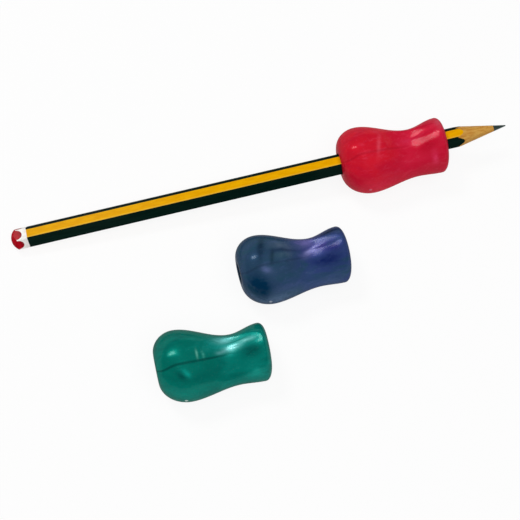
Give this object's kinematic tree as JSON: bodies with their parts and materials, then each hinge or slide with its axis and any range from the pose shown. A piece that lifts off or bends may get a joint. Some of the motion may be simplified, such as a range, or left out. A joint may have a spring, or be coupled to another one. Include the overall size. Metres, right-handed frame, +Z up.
{
  "type": "pencil grip",
  "caption": "Soft moulded pencil grip with a bulb, finger scoops and a flared lip, on a striped hexagonal pencil that it slides along, with loose grips of the same moulding.",
  "frame": {"origin": "on the table, below the middle of the set's box", "axes": "+X along the pencil towards its point, +Z up from the table, +Y to the side that the grips' crests face"},
  "size_m": [0.1752, 0.081, 0.0209],
  "materials": {
    "graphite": "satin",
    "cedar": "matte",
    "black_paint": "gloss",
    "yellow_paint": "gloss",
    "white_paint": "gloss",
    "red_paint": "gloss",
    "red_pearl": "gloss",
    "violet_pearl": "gloss",
    "green_pearl": "gloss"
  },
  "bodies": {
    "fitted_grip": {"red_grip": "red_pearl"},
    "pencil": {"lead_core": "graphite", "upper_slat": "cedar", "lower_slat": "cedar", "black_lacquer": "black_paint", "yellow_stripes": "yellow_paint", "white_band": "white_paint", "dipped_end": "red_paint"},
    "loose_violet": {"violet_grip": "violet_pearl"},
    "loose_green": {"green_grip": "green_pearl"}
  },
  "joints": [
    {"name": "pencil_slide", "type": "slide", "parent": "fitted_grip", "child": "pencil", "axis": [0.9985, 0, 0.054], "range_m": [-0.003, 0.105]},
    {"name": "violet_lift", "type": "slide", "parent": "fitted_grip", "child": "loose_violet", "axis": [0, 0, 1], "range_m": [0, 0.06]},
    {"name": "green_lift", "type": "slide", "parent": "fitted_grip", "child": "loose_green", "axis": [0, 0, 1], "range_m": [0, 0.06]}
  ]
}
